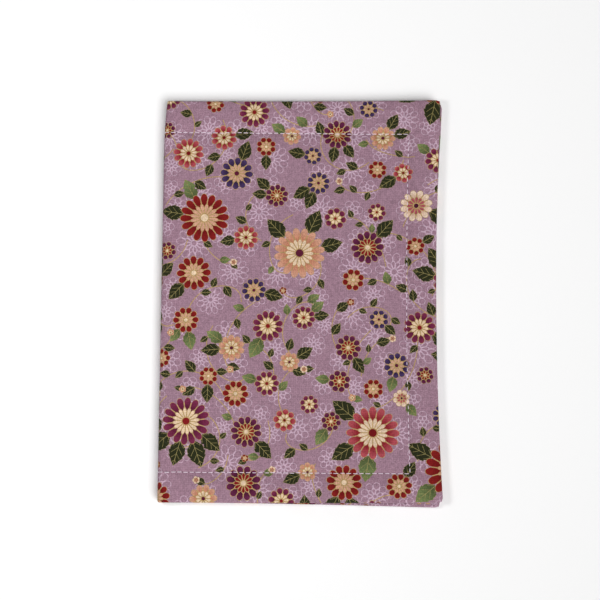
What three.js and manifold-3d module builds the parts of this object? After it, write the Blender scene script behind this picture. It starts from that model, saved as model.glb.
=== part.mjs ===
// Thread keeper: a small folded fabric book whose pages hold cut lengths of embroidery thread in rows of
// stitched channels. A printed cotton cover is turned in over its edges and stitched down as a hem round
// an interlining and a plain lining, and a channelled band is sewn to the lining of each page.
// Millimetres, +Z up. The closed book lies on its back cover, with the spine at -X and the fore-edge at +X.
// The origin is the middle of its base.
import * as THREE from "three";
import { mergeVertices } from "three/addons/utils/BufferGeometryUtils.js";
import Module from "manifold-3d";

// Driving dimensions of the closed book
const closedWidth = 113; // spine to the fore-edge corners
const closedHeight = 165; // from corner to corner along the fore-edge
const cornerFlare = 1.3; // the fore-edge corners reach this far past the ends of the spine
const foreEdgeDraw = 2.3; // the fore-edge is drawn in this far between its corners
const cornerRadius = 1.6;
const pageGap = 0.3; // between the two facing pages

// Cloth layers, from the outside in
const coverCloth = 0.45; // printed cotton
const interliningThickness = 0.8;
const liningCloth = 0.35;
const hemThickness = 0.8; // printed cotton turned in twice
const cornerOverlap = 0.6; // extra layers where two hems cross
const layerGap = 0.05; // between one layer and the next
const foldClearance = 0.15; // between a page and the spine, across the fold

// Hem and its stitching
const hemStitchInset = 11.8; // from the folded edge to the stitching
const hemMargin = 1.2; // from the stitching to the hem's inner edge
const stitchLength = 2.5;
const stitchShare = 0.72; // the part of a stitch's length that lies on the surface
const stitchRamp = 0.25; // where the thread dips into its needle hole
const threadWidth = 0.4;
const threadDepth = 0.2;
const threadLink = 0.1; // depth at which the thread passes between stitches
const seamTurn = 0.3; // between the two rows that meet at a corner

// Channelled band on each page
const bandWidth = 38; // along the threads
const bandCloth = 0.35;
const bandEndGap = 0.6; // from the band's ends to the hems
const channelCount = 11;
const channelRise = 1.05; // clear height in the middle of a channel
const bandStitchLength = 3;
const channelLand = 1.8; // the flat strip that is stitched down between channels

// Finish of the drawn shapes
const curveSteps = 6;
const foldSteps = 3;
const foldRoundness = 0.45; // a fold's radius, as a share of its thickness
const archPull = 4 / 3; // a cubic curve rises three quarters as far as it is pulled
const archShoulder = 1 / 6; // where a channel's arch is pulled up, as a share of its span
const weldTolerance = 1e-4;
const overrun = 6; // how far a cutting shape reaches past the piece that it cuts

// Depths from the outer face of a cover
const interliningBase = coverCloth + layerGap;
const liningBase = interliningBase + interliningThickness + layerGap;
const liningTop = liningBase + liningCloth;
const hemBase = liningTop + layerGap;
const hemTop = hemBase + hemThickness;
const bandBase = liningTop + layerGap;
const bandTop = bandBase + channelRise + bandCloth;
const pageThickness = Math.max(hemTop + cornerOverlap, bandTop);
const closedThickness = 2 * pageThickness + pageGap;
const grooveDepth = threadDepth + layerGap;
const grooveWidth = threadWidth + 2 * layerGap;

// The spine has no interlining, so that it folds
const spineLiningBase = coverCloth + layerGap;
const spineLiningTop = spineLiningBase + liningCloth;
const spineHemBase = spineLiningTop + layerGap;
const spineHemTop = spineHemBase + hemThickness;

// Plan of a page: u runs from the spine's outer face to the fore-edge, y along the spine
const halfHeight = closedHeight / 2;
const spineHalf = halfHeight - cornerFlare;
const hemWidth = hemStitchInset + hemMargin;
const seamY = spineHalf - hemStitchInset;
const seamU = closedWidth - foreEdgeDraw - hemStitchInset;
const windowY = spineHalf - hemWidth;
const windowU = closedWidth - foreEdgeDraw - hemWidth;
const pageFoldRadius = foldRoundness * hemTop;
const spineFoldRadius = foldRoundness * spineHemTop;

// An outline drawn as y and depth and pulled along u, or drawn as depth and u and pulled along y
const alongU = new THREE.Vector3(1, 0, 0);
const alongY = new THREE.Vector3(0, 1, 0);
const inward = new THREE.Vector3(0, 0, 1);
const pulledAlongU = new THREE.Matrix4().makeBasis(alongY, inward, alongU);
const pulledAlongY = new THREE.Matrix4().makeBasis(inward, alongU, alongY);

const wasm = await Module();
wasm.setup();

// Geometry to solid and back
function solidOf(geometry) {
  geometry.deleteAttribute("normal");
  geometry.deleteAttribute("uv");
  const merged = mergeVertices(geometry.index ? geometry.toNonIndexed() : geometry, weldTolerance);
  return new wasm.Manifold(
    new wasm.Mesh({
      numProp: 3,
      vertProperties: merged.attributes.position.array,
      triVerts: new Uint32Array(merged.index.array),
    }),
  );
}

function geometryOf(solid) {
  const mesh = solid.getMesh();
  const geometry = new THREE.BufferGeometry();
  geometry.setAttribute("position", new THREE.BufferAttribute(mesh.vertProperties, 3));
  geometry.setIndex(new THREE.BufferAttribute(mesh.triVerts, 1));
  geometry.computeVertexNormals();
  return geometry;
}

function block(u0, u1, y0, y1, w0, w1) {
  const box = new THREE.BoxGeometry(u1 - u0, y1 - y0, w1 - w0);
  return solidOf(box.translate((u0 + u1) / 2, (y0 + y1) / 2, (w0 + w1) / 2));
}

// A flat sheet of the given plan between two depths
function sheet(outline, base, top) {
  const options = { depth: top - base, bevelEnabled: false, curveSegments: curveSteps };
  return solidOf(new THREE.ExtrudeGeometry(outline, options).translate(0, 0, base));
}

// A sheet whose edges are rounded as a fold of cloth is
function foldedSheet(outline, top, radius) {
  const options = {
    depth: top - 2 * radius,
    bevelSize: radius,
    bevelOffset: -radius,
    bevelThickness: radius,
    bevelSegments: foldSteps,
    curveSegments: curveSteps,
  };
  return solidOf(new THREE.ExtrudeGeometry(outline, options).translate(0, 0, radius));
}

// The page's plan, drawn in by an inset: flared towards the fore-edge, which is hollow between its corners
function pageOutline(inset) {
  const edge = closedWidth - inset;
  const high = halfHeight - inset;
  const low = spineHalf - inset;
  const bend = closedWidth / 2;
  const outline = new THREE.Shape();
  outline.moveTo(-overrun, -low);
  outline.lineTo(0, -low);
  outline.quadraticCurveTo(bend, -low, edge - cornerRadius, -high);
  outline.quadraticCurveTo(edge, -high, edge, cornerRadius - high);
  outline.quadraticCurveTo(edge - 2 * foreEdgeDraw, 0, edge, high - cornerRadius);
  outline.quadraticCurveTo(edge, high, edge - cornerRadius, high);
  outline.quadraticCurveTo(bend, low, 0, low);
  outline.lineTo(-overrun, low);
  return outline;
}

// The spine's plan, drawn in at its two ends: u runs across the book's thickness
function spineOutline(inset) {
  const low = spineHalf - inset;
  const outline = new THREE.Shape();
  outline.moveTo(-overrun, -low);
  outline.lineTo(closedThickness + overrun, -low);
  outline.lineTo(closedThickness + overrun, low);
  outline.lineTo(-overrun, low);
  return outline;
}

// What lies on the other side of the fold at u = 0: a mitre, so that the cover meets at its outer face
function mitre() {
  const reach = closedThickness;
  const outline = new THREE.Shape();
  outline.moveTo(-reach, foldClearance - reach);
  outline.lineTo(reach, foldClearance + reach);
  outline.lineTo(reach, -closedWidth);
  outline.lineTo(-reach, -closedWidth);
  const options = { depth: 2 * closedHeight, bevelEnabled: false };
  const geometry = new THREE.ExtrudeGeometry(outline, options).translate(0, 0, -closedHeight);
  return solidOf(geometry.applyMatrix4(pulledAlongY));
}

// One row of machine stitching: dashes on the surface, joined where the thread dips between them.
// The row is drawn along its length and its depth from the surface at 0, and is centred across.
function stitchRow(length, spacing) {
  const count = Math.max(1, Math.round(length / spacing));
  const pitch = length / count;
  const outline = new THREE.Shape();
  outline.moveTo(0, threadDepth);
  for (let i = 0; i < count; i++) {
    const start = i * pitch;
    const end = i === count - 1 ? length : start + stitchShare * pitch;
    outline.lineTo(start, threadLink);
    outline.lineTo(start + stitchRamp, 0);
    outline.lineTo(end - stitchRamp, 0);
    outline.lineTo(end, threadLink);
  }
  outline.lineTo(length, threadDepth);
  const options = { depth: threadWidth, bevelEnabled: false };
  return new THREE.ExtrudeGeometry(outline, options).translate(0, 0, -threadWidth / 2);
}

function rowAlongU(u0, u1, y) {
  return solidOf(stitchRow(u1 - u0, stitchLength).rotateX(Math.PI / 2).translate(u0, y, 0));
}

function rowAlongY(u, y0, y1) {
  return solidOf(stitchRow(y1 - y0, stitchLength).applyMatrix4(pulledAlongU).translate(u, y0, 0));
}

function grooveAlongU(u0, u1, y) {
  return block(u0, u1, y - grooveWidth / 2, y + grooveWidth / 2, -overrun, grooveDepth);
}

function grooveAlongY(u, y0, y1) {
  return block(u - grooveWidth / 2, u + grooveWidth / 2, y0, y1, -overrun, grooveDepth);
}

// Where the hem's rows of stitching start and end on a page
const rowStart = grooveDepth + foldClearance + layerGap;
const rowEnd = seamU + threadWidth / 2;
const sideRowEnd = seamY - threadWidth / 2 - seamTurn;

// A page's printed cover: one cloth turned in over three edges, doubled again where two hems cross,
// and hollow where it holds the interlining and the lining
function pageCover() {
  const flat = foldedSheet(pageOutline(0), hemTop, pageFoldRadius);
  const thick = foldedSheet(pageOutline(0), hemTop + cornerOverlap, pageFoldRadius);
  const cornerU = closedWidth - hemWidth;
  const cornerY = spineHalf - hemWidth;
  let cover = flat;
  for (const side of [-1, 1]) {
    const ends = [side * cornerY, side * (halfHeight + overrun)].sort((a, b) => a - b);
    const corner = block(cornerU, closedWidth + overrun, ...ends, -overrun, pageThickness);
    cover = cover.add(thick.intersect(corner));
  }
  cover = cover.subtract(sheet(pageOutline(pageFoldRadius), coverCloth, hemBase));
  cover = cover.subtract(block(-overrun, windowU, -windowY, windowY, liningBase, pageThickness + overrun));
  for (const side of [-1, 1]) {
    cover = cover.subtract(grooveAlongU(-overrun, rowEnd + layerGap, side * seamY));
  }
  cover = cover.subtract(grooveAlongY(seamU, -seamY, seamY));
  return cover.subtract(mitre());
}

function pageLayer(base, top) {
  return sheet(pageOutline(pageFoldRadius + layerGap), base, top).subtract(mitre());
}

const bandCentreU = (liningTop + windowU) / 2;
const bandStart = bandCentreU - bandWidth / 2;
const bandHalf = windowY - bandEndGap;
const channelPitch = (2 * bandHalf - channelLand) / channelCount;

// The band's section along the spine: flat lands, and a low arch over each channel
function bandProfile() {
  const span = channelPitch - channelLand;
  const shoulder = archShoulder * span;
  const pull = archPull * channelRise;
  const outline = new THREE.Shape();
  outline.moveTo(-bandHalf, bandBase);
  outline.lineTo(-bandHalf, bandBase + bandCloth);
  for (let i = 0; i < channelCount; i++) {
    const start = -bandHalf + channelLand + i * channelPitch;
    outline.lineTo(start - bandCloth / 2, bandBase + bandCloth);
    outline.bezierCurveTo(
      start + shoulder, bandBase + bandCloth + pull,
      start + span - shoulder, bandBase + bandCloth + pull,
      start + span + bandCloth / 2, bandBase + bandCloth,
    );
  }
  outline.lineTo(bandHalf, bandBase + bandCloth);
  outline.lineTo(bandHalf, bandBase);
  for (let i = channelCount - 1; i >= 0; i--) {
    const start = -bandHalf + channelLand + i * channelPitch;
    outline.lineTo(start + span - bandCloth / 2, bandBase);
    outline.bezierCurveTo(
      start + span - shoulder, bandBase + pull,
      start + shoulder, bandBase + pull,
      start + bandCloth / 2, bandBase,
    );
  }
  return outline;
}

function channelBand() {
  const options = { depth: bandWidth, bevelEnabled: false, curveSegments: curveSteps };
  const geometry = new THREE.ExtrudeGeometry(bandProfile(), options).applyMatrix4(pulledAlongU);
  return solidOf(geometry.translate(bandStart, 0, 0));
}

// A row that ties the band down, on the inner face of the land between two channels
function channelRow(index) {
  const y = -bandHalf + channelLand / 2 + index * channelPitch;
  const row = stitchRow(bandWidth - 2 * layerGap, bandStitchLength).rotateX(-Math.PI / 2);
  const surface = bandBase + bandCloth + layerGap + threadDepth;
  return solidOf(row.translate(bandStart + layerGap, y, surface));
}

function spineCover() {
  let cover = foldedSheet(spineOutline(0), spineHemTop, spineFoldRadius);
  cover = cover.subtract(sheet(spineOutline(spineFoldRadius), coverCloth, spineHemBase));
  const far = closedThickness + overrun;
  cover = cover.subtract(block(-overrun, far, -windowY, windowY, spineLiningBase, spineHemTop + overrun));
  for (const side of [-1, 1]) {
    cover = cover.subtract(grooveAlongU(-overrun, far, side * seamY));
  }
  return spineEnds(cover);
}

// Mitres both sides of a piece of the spine
function spineEnds(solid) {
  const cut = mitre();
  const far = cut.mirror([1, 0, 0]).translate([closedThickness, 0, 0]);
  return solid.subtract(cut).subtract(far);
}

function spineLining() {
  return spineEnds(sheet(spineOutline(spineFoldRadius + layerGap), spineLiningBase, spineLiningTop));
}

// Finishes
const printedCotton = { color: 0x9f8095, roughness: 0.9, metalness: 0 };
const wovenInterlining = { color: 0xece9e2, roughness: 1, metalness: 0 };
const plainCalico = { color: 0xeee4d0, roughness: 0.92, metalness: 0 };
const sewingThread = { color: 0xe9dbe6, roughness: 0.6, metalness: 0 };

function piece(name, solid, finish) {
  const mesh = new THREE.Mesh(geometryOf(solid), new THREE.MeshStandardMaterial(finish));
  mesh.name = name;
  return mesh;
}

// One page, lying on its outer face. A page that is turned over has its top at -y.
function page(name, turnedOver) {
  const group = new THREE.Group();
  const topSide = turnedOver ? -1 : 1;
  const interlining = pageLayer(interliningBase, interliningBase + interliningThickness);
  group.add(piece(`${name}_cover`, pageCover(), printedCotton));
  group.add(piece(`${name}_interlining`, interlining, wovenInterlining));
  group.add(piece(`${name}_lining`, pageLayer(liningBase, liningTop), plainCalico));
  group.add(piece(`${name}_channel_band`, channelBand(), plainCalico));
  group.add(piece(`${name}_top_stitching`, rowAlongU(rowStart, rowEnd, topSide * seamY), sewingThread));
  group.add(piece(`${name}_bottom_stitching`, rowAlongU(rowStart, rowEnd, -topSide * seamY), sewingThread));
  group.add(piece(`${name}_fore_edge_stitching`, rowAlongY(seamU, -sideRowEnd, sideRowEnd), sewingThread));
  for (let i = 0; i <= channelCount; i++) {
    const fromTop = turnedOver ? i : channelCount - i;
    const label = String(fromTop + 1).padStart(2, "0");
    group.add(piece(`${name}_channel_stitching_${label}`, channelRow(i), sewingThread));
  }
  return group;
}

function spine() {
  const group = new THREE.Group();
  group.add(piece("spine_cover", spineCover(), printedCotton));
  group.add(piece("spine_lining", spineLining(), plainCalico));
  for (const [end, side] of [["top", -1], ["bottom", 1]]) {
    const row = rowAlongU(rowStart, closedThickness - rowStart, side * seamY);
    group.add(piece(`spine_${end}_stitching`, row, sewingThread));
  }
  return group;
}

const threadKeeper = new THREE.Group();
const spineFace = -closedWidth / 2;

const back = page("back", false);
back.position.set(spineFace, 0, 0);
threadKeeper.add(back);

const front = page("front", true);
front.position.set(spineFace, 0, closedThickness);
front.rotation.x = Math.PI;
threadKeeper.add(front);

// The spine stands on edge: its u is up, its depth runs into the book, and its top is at -y
const upright = spine();
upright.position.set(spineFace, 0, 0);
upright.quaternion.setFromRotationMatrix(
  new THREE.Matrix4().makeBasis(inward, alongY.clone().negate(), alongU),
);
threadKeeper.add(upright);

export default threadKeeper;
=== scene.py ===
import math
import random
from functools import partial

import bpy
import numpy as np
from mathutils import Matrix, Vector


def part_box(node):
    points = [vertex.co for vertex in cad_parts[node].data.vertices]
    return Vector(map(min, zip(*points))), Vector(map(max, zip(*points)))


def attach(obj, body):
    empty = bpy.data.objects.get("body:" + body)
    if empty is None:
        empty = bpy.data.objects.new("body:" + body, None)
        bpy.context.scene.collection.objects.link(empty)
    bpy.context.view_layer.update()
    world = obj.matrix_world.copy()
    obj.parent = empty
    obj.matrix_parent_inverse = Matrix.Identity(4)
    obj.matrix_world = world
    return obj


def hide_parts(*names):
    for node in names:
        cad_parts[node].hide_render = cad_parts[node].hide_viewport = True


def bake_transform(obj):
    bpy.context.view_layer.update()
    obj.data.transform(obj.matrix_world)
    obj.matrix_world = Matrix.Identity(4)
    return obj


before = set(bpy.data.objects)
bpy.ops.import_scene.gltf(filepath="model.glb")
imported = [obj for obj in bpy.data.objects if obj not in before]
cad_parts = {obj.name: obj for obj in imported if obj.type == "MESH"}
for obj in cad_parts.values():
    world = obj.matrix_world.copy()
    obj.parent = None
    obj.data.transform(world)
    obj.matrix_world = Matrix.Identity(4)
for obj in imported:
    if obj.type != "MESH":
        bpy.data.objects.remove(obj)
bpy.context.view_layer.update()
print("frame loaded")

# Lengths are in mm until a mesh is made. On each page u runs from the spine's outer face to the
# fore-edge, y along the spine, and w from the page's outer face inwards.
perMetre = 1000
pages = ("back", "front")
inwards = {"back": 1, "front": -1}  # up or down, from a page's outer face


def nodeBox(node):
    low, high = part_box(node)
    return np.array(low) * perMetre, np.array(high) * perMetre


spineX, spineHalf = nodeBox("spine_cover")[0][0], nodeBox("spine_cover")[1][1]
foreX, _, thick = nodeBox("front_cover")[1]
seamY = sum(end[1] for end in nodeBox("front_top_stitching")) / 2
seamU = sum(end[0] for end in nodeBox("front_fore_edge_stitching")) / 2 - spineX
bandLow, bandHigh = nodeBox("back_channel_band")
bandStart, bandEnd = bandLow[0] - spineX, bandHigh[0] - spineX

cloth = {
    "thickness": 0.4,
    "outer": 0.2,  # depth of the cover's middle
    "hem": 2.4,  # depth of the hem layer that shows inside
    "hemFold": (1.46, 2.44),  # its height over the open book's spine and at the spine's edges
    "hemMargin": 1.2,  # from the stitching to the hem's inner edge
    "hemReturn": 0.46,  # down to the layer turned under it
    "hemTurn": 7.5,  # width of that layer
    "cornerRaise": 0.58,  # where two hems cross
    "cornerClimb": (-1.0, 1.2),  # from and to, past the hem's inner edge
}
shape = {
    "foreEdgeDraw": 2.3,  # the fore-edge is hollow between its corners
    "seamBow": 1.5,  # the fore-edge stitching follows it part of the way
    "bowPower": 4,  # and the page towards the spine hardly does
    "headHem": 1.3,  # the hem at the head is this much deeper than the one at the tail
    "headHemSpread": 6,
    "headHemFade": 9,  # within this much of the edge
    "edgeRound": 0.85,  # reach of the fold round an edge
    "cornerRound": 0.55,
    "spineBend": 2.4,
    "join": 4.6,  # where the spine's bend ends
    "foldReach": 1.1,  # the cloth turns over this much each way at an edge of the spine
    "spineTaper": 1.0,  # the head of the spine is drawn in
    "taperFrom": 62,
    "taperReach": 9,  # on to the page
    "innerTaper": 0.22,  # share of it that the inner layers take
    "innerDepth": (0.3, 1.5),  # where these begin
    # how far the fore-edge corners reach past the spine at head and tail: no page is quite square
    "flare": {"front": (1.3, -0.7), "back": (0.5, 1.5)},
    "skew": {"front": 0.0, "back": 0.9},
}
grid = {
    "step": 1.05,
    "hemLine": 0.3,  # a line of points just past the hem's inner edge
    "seamLine": 0.45,  # and one on each side of a seam
    "closest": 0.4,  # share of a step that the other lines keep from these
    "edgeSteps": 7,  # round a folded edge
    "turnSteps": 4,  # round the hem's inner edge
    "turnRows": 3,  # on the layer turned under it
    "cornerGap": 5,  # mm, longer than any face on the flat cloth
}
tiny = 1e-9
spineSteps = 14  # from the middle of the spine to the end of its bend
midWidth = foreX - spineX - shape["foreEdgeDraw"]
fullDepth = cloth["hem"] + cloth["thickness"] / 2
windowU, windowY = seamU - cloth["hemMargin"], seamY - cloth["hemMargin"]
edgeU, edgeY = midWidth - shape["edgeRound"], spineHalf - shape["edgeRound"]


def smooth(value, low, high):
    t = np.clip((value - low) / (high - low), 0, 1)
    return t * t * (3 - 2 * t)


def bell(value, width):
    return np.exp(-((value / width) ** 2))


def unit(ways):
    return ways / np.maximum(np.linalg.norm(ways, axis=1), tiny)[:, None]


# Base grid to true plan: the edges flare to the fore-edge corners, and these are a little round
def plan(u, y, side, w=0.0, roundCorners=True):
    out, far, high = np.sign(y), u / midWidth, y / spineHalf
    hemShare = np.clip((np.abs(y) - seamY) / (spineHalf - seamY), 0, None)
    trueY = y + out * hemShare * np.where(y > 0, *shape["flare"][side]) * far**2
    headFade = smooth(spineHalf - y, 0, shape["headHemFade"])
    trueY = trueY - shape["headHem"] * bell(y - seamY, shape["headHemSpread"]) * headFade
    beyond = np.clip((u - seamU) / (midWidth - seamU), 0, None)
    inside = np.clip(u / seamU, 0, 1) ** shape["bowPower"]
    reach = shape["seamBow"] * inside + (shape["foreEdgeDraw"] - shape["seamBow"]) * beyond
    trueU = u + reach * high**2 + shape["skew"][side] * high * far**2
    if roundCorners:
        radius = shape["cornerRound"]
        a = np.clip((u - edgeU + radius) / radius, 0, 1)
        b = np.clip((np.abs(y) - edgeY + radius) / radius, 0, 1)
        trueU = trueU - radius * a * (1 - np.sqrt(1 - b * b / 2))
        trueY = trueY - out * radius * b * (1 - np.sqrt(1 - a * a / 2))
    head = np.clip((y - shape["taperFrom"]) / (spineHalf - shape["taperFrom"]), 0, 1) ** 2
    inner = 1 - (1 - shape["innerTaper"]) * smooth(np.minimum(u, w), *shape["innerDepth"])
    taper = shape["spineTaper"] * head * np.exp(-u / shape["taperReach"]) * inner
    return trueU + taper, trueY


relief = {
    "groove": 0.5,  # the stitching pulls the layers together
    "grooveWidth": 1.1,
    "foreEdgeTight": 1.35,  # the fore-edge row is drawn tighter by this much
    "tightWidth": 3,
    "dip": 0.58,
    "dipWidth": 3.6,
    "edgeFall": 0.5,  # the face rolls over towards its edges
    "edgeFallWidth": 2.0,
    "spineFall": 0.3,  # and towards the spine
    "spineFallStart": (0.4, 2.2),
    "spineFallWidth": 2.6,
    "spineFade": (2.5, 9),  # the rest fades out there
    "backSink": 0.08,
    "pucker": 0.1,
    "puckerWidth": 5.5,
    "puckerEnd": 3,  # past the corner of two seams
    # the puckers' waves: share of the height, length, and turn of the phase
    "waves": ((1.0, 6.1, 1.0), (0.7, 9.7, 2.1), (0.5, 3.9, 3.3)),
    "wander": (0.4, 9.0),  # of the first wave, in radians and over this length
    "slant": 4,  # of the last one
    "phase": {"front": 0.6, "back": 2.2},
    "foreEdgePhase": 1.7,
    "slack": 0.13,
    # its waves: share of the height, lengths along u and y, and phase
    "slackWaves": ((1.0, 13, 31, 0), (0.8, -23, 17, 1), (0.6, 7, 11, 2)),
    "crown": 0.4,  # the bands inside lift the middle of the page
    "crownWidth": 27,
    "crownEnd": (45, 66),
    "cornerLift": 0.5,
    "cornerReach": (20, 3),  # from and to, before the edges
    "innerGroove": 0.3,
    "innerGrooveWidth": 0.9,
    "innerPucker": 0.05,
    "innerPuckerWidth": 4,
    "innerPhase": {"front": 1.3, "back": 3.1},
}


def seamDistance(u, y):
    far, high = u - seamU, np.abs(y) - seamY
    pastFore, pastRow = np.clip(far, 0, None), np.clip(high, 0, None)
    return np.minimum(np.hypot(high, pastFore), np.hypot(far, pastRow))


def ripples(along, across, phase):
    swing, over = relief["wander"]
    drifts = (swing * np.sin(along / over), 0, across / relief["slant"])
    return sum(
        share * np.sin(along * 2 * math.pi / length + drift + turn * phase)
        for (share, length, turn), drift in zip(relief["waves"], drifts)
    )


# How far the outer face sinks, and how far the inner face and the hem do
def outerRelief(u, y, side):
    far, high, d = u - seamU, np.abs(y) - seamY, seamDistance(u, y)
    tight = 1 + (relief["foreEdgeTight"] - 1) * bell(far, relief["tightWidth"])
    sunk = relief["groove"] * tight * bell(d, relief["grooveWidth"])
    sunk = sunk + relief["dip"] * bell(d, relief["dipWidth"])
    edge = np.minimum(edgeU - u, edgeY - np.abs(y))
    sunk = sunk + relief["edgeFall"] * bell(edge, relief["edgeFallWidth"])
    width, end, phase = relief["puckerWidth"], relief["puckerEnd"], relief["phase"][side]
    atRow = bell(high, width) * smooth(-far, -end, end)
    atFore = bell(far, width) * smooth(-high, -end, end)
    wave = atRow * ripples(u, y, phase + (y > 0))
    wave = wave + atFore * ripples(y, u, phase + relief["foreEdgePhase"])
    sunk = sunk + relief["pucker"] * wave * (1 - np.exp(-d) / 2)
    fade = smooth(u, *relief["spineFade"])
    if side == "back":
        return np.clip(relief["backSink"] + sunk, 0, None) * fade
    slack = sum(h * np.sin(u / a + y / b + c) for h, a, b, c in relief["slackWaves"])
    crown = bell(u - (bandStart + bandEnd) / 2, relief["crownWidth"])
    crown = crown * (1 - smooth(np.abs(y), *relief["crownEnd"]))
    start, end = relief["cornerReach"]
    corner = smooth(u, midWidth - start, midWidth - end)
    corner = corner * smooth(np.abs(y), spineHalf - start, spineHalf - end)
    sunk = sunk + relief["slack"] * slack - relief["crown"] * crown
    start, end = relief["spineFallStart"]
    past = np.clip(u - end, 0, None)
    roll = relief["spineFall"] * smooth(u, start, end) * bell(past, relief["spineFallWidth"])
    return (sunk - relief["cornerLift"] * corner) * fade + roll


def innerRelief(u, y, side):
    d, phase = seamDistance(u, y), relief["innerPhase"][side]
    wave = bell(d, relief["innerPuckerWidth"]) * (ripples(u, y, phase) + ripples(y, u, phase))
    groove = relief["innerGroove"] * bell(d, relief["innerGrooveWidth"])
    return groove + relief["innerPucker"] * wave


def hemRelief(u, y, side):
    climb = smooth(u, *(windowU + past for past in cloth["cornerClimb"]))
    lift = cloth["cornerRaise"] * climb * (np.abs(y) > windowY + grid["hemLine"] / 2)
    return lift - innerRelief(u, y, side) * smooth(u, *relief["spineFade"])


def toWorld(u, y, w, side):
    z = w if side == "back" else thick - w
    return np.stack(np.broadcast_arrays(spineX + u, y, z), axis=-1)


def gridMarks(window, seam):
    near = grid["seamLine"]
    return [window, window + grid["hemLine"], seam - near, seam, seam + near]


def gridLines(start, end, marks):
    lines = np.linspace(start, end, round((end - start) / grid["step"]) + 1)
    gap = grid["closest"] * grid["step"]
    kept = [v for v in lines if min(abs(v - m) for m in marks) > gap or v in (start, end)]
    return np.array(sorted([*kept, *marks]))


pageU = gridLines(shape["join"], edgeU, gridMarks(windowU, seamU))
rowY = gridLines(-edgeY, edgeY, [s * m for s in (-1, 1) for m in gridMarks(windowY, seamY)])


# A page opens about the outer edge of the spine, and the cloth there turns part of the way. These
# give a point's place on the open book, along and up, and the way back.
def turnShare(u, w):
    return smooth((u - w) / math.sqrt(2), -shape["foldReach"], shape["foldReach"])


def opened(u, w):
    angle = np.arctan2(w, u) + (1 - turnShare(u, w)) * math.pi / 2
    return np.hypot(u, w) * np.cos(angle), np.hypot(u, w) * np.sin(angle)


def folded(x, height, halvings=40):
    far, wanted = np.hypot(x, height), np.arctan2(height, x)
    low, high = wanted - math.pi / 2, wanted
    for _ in range(halvings):
        angle = (low + high) / 2
        u, w = far * np.cos(angle), far * np.sin(angle)
        over = angle + (1 - turnShare(u, w)) * math.pi / 2 > wanted
        low, high = np.where(over, low, angle), np.where(over, angle, high)
    return u, w


# A layer's way from the middle of the spine, round its edge and across the page
def layerPath(u, w, s, depthPage, pageStart):
    u = np.concatenate([u, pageU])
    w = np.concatenate([w, np.full(len(pageU), depthPage)])
    s = np.concatenate([s, pageStart + pageU - shape["join"]])
    wayU, wayW = np.gradient(u), np.gradient(w)
    size = np.hypot(wayU, wayW)
    columns = {"u": u, "w": w, "s": s, "nu": -wayW / size, "nw": wayU / size}
    return {key: values[:, None] for key, values in columns.items()}


def coverPath():
    depth, bend = cloth["outer"], shape["spineBend"]
    rise = thick / 2 - depth - bend
    turn = bend * math.pi / 2
    length = rise + turn + shape["join"] - depth - bend
    s = np.linspace(0, length, spineSteps + 1)[:-1]
    angle = np.clip((s - rise) / bend, 0, math.pi / 2)
    u = depth + bend * (1 - np.cos(angle)) + np.clip(s - rise - turn, 0, None)
    w = thick / 2 - np.minimum(s, rise) - bend * np.sin(angle)
    return layerPath(u, w, s, depth, length)


outerPath = coverPath()


# The inner layers lie smooth on the open book, and their way round the closed spine follows from it
def innerPath(heights, depthPage):
    x = opened(outerPath["u"][:spineSteps, 0], outerPath["w"][:spineSteps, 0])[0]
    spineHeight, foldHeight = heights
    height = foldHeight + (spineHeight - foldHeight) * smooth(-x, 0, thick / 2)
    height = height + (depthPage - foldHeight) * smooth(x, 0, shape["join"])
    u, w = folded(x, height)
    return layerPath(u, w, x + thick / 2, depthPage, thick / 2 + shape["join"])


hemPath = innerPath(cloth["hemFold"], cloth["hem"])


def layerPoints(path, offset, side, y=rowY[None, :]):
    u, y = plan(path["u"], y, side, path["w"])
    return toWorld(u + path["nu"] * offset, y, path["w"] + path["nw"] * offset, side)


# The outer face eases off round the spine
def facePoints(side, y=rowY[None, :], proud=0.0):
    sink = outerRelief(outerPath["u"], y, side) * (1 - outerPath["w"] / fullDepth)
    return layerPoints(outerPath, sink - proud, side, y)


def hemPoints(side, y=rowY[None, :], proud=0.0):
    return layerPoints(hemPath, hemRelief(hemPath["u"], y, side) + proud, side, y)


def newObject(name, data):
    obj = bpy.data.objects.new(name, data)
    bpy.context.collection.objects.link(obj)
    return obj


# A sheet's middle surface to a closed mesh of the cloth's thickness. Faces after the first count of
# quads are the cloth's wrong side and its cut edges, and take the last material.
def sheetObject(name, points, quads, thickness, *materials):
    a, b, c, d = (points[quads[:, k]] for k in range(4))
    faceNormal = np.cross(c - a, d - b)
    normal = np.zeros_like(points)
    for k in range(4):
        np.add.at(normal, quads[:, k], faceNormal)
    outwards, count = unit(normal) * thickness / 2, len(points)
    edges = np.concatenate([quads[:, [k, (k + 1) % 4]] for k in range(4)])
    used = {tuple(e) for e in edges.tolist()}
    rim = sorted(e for e in used if e[::-1] not in used)
    rim = np.array([(q, p, p + count, q + count) for p, q in rim])
    every = np.concatenate([quads, quads[:, ::-1] + count, rim])
    verts = np.concatenate([points + outwards, points - outwards])
    mesh = bpy.data.meshes.new(name)
    mesh.from_pydata((verts / perMetre).tolist(), [], every.tolist())
    for material in materials:
        mesh.materials.append(material)
    index = np.full(len(every), len(materials) - 1, np.int32)
    index[: len(quads)] = 0
    mesh.polygons.foreach_set("material_index", index)
    rounded = np.arange(len(every)) < 2 * len(quads)  # the cut edges stay crisp
    mesh.polygons.foreach_set("use_smooth", rounded)
    mesh.update()
    return newObject(name, mesh)


def colour(hexValue, share=1.0):
    parts = [int(hexValue[k : k + 2], 16) / 255 for k in (1, 3, 5)]
    linear = [c / 12.92 if c <= 0.04045 else ((c + 0.055) / 1.055) ** 2.4 for c in parts]
    return [c * share for c in linear] + [1.0]


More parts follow.
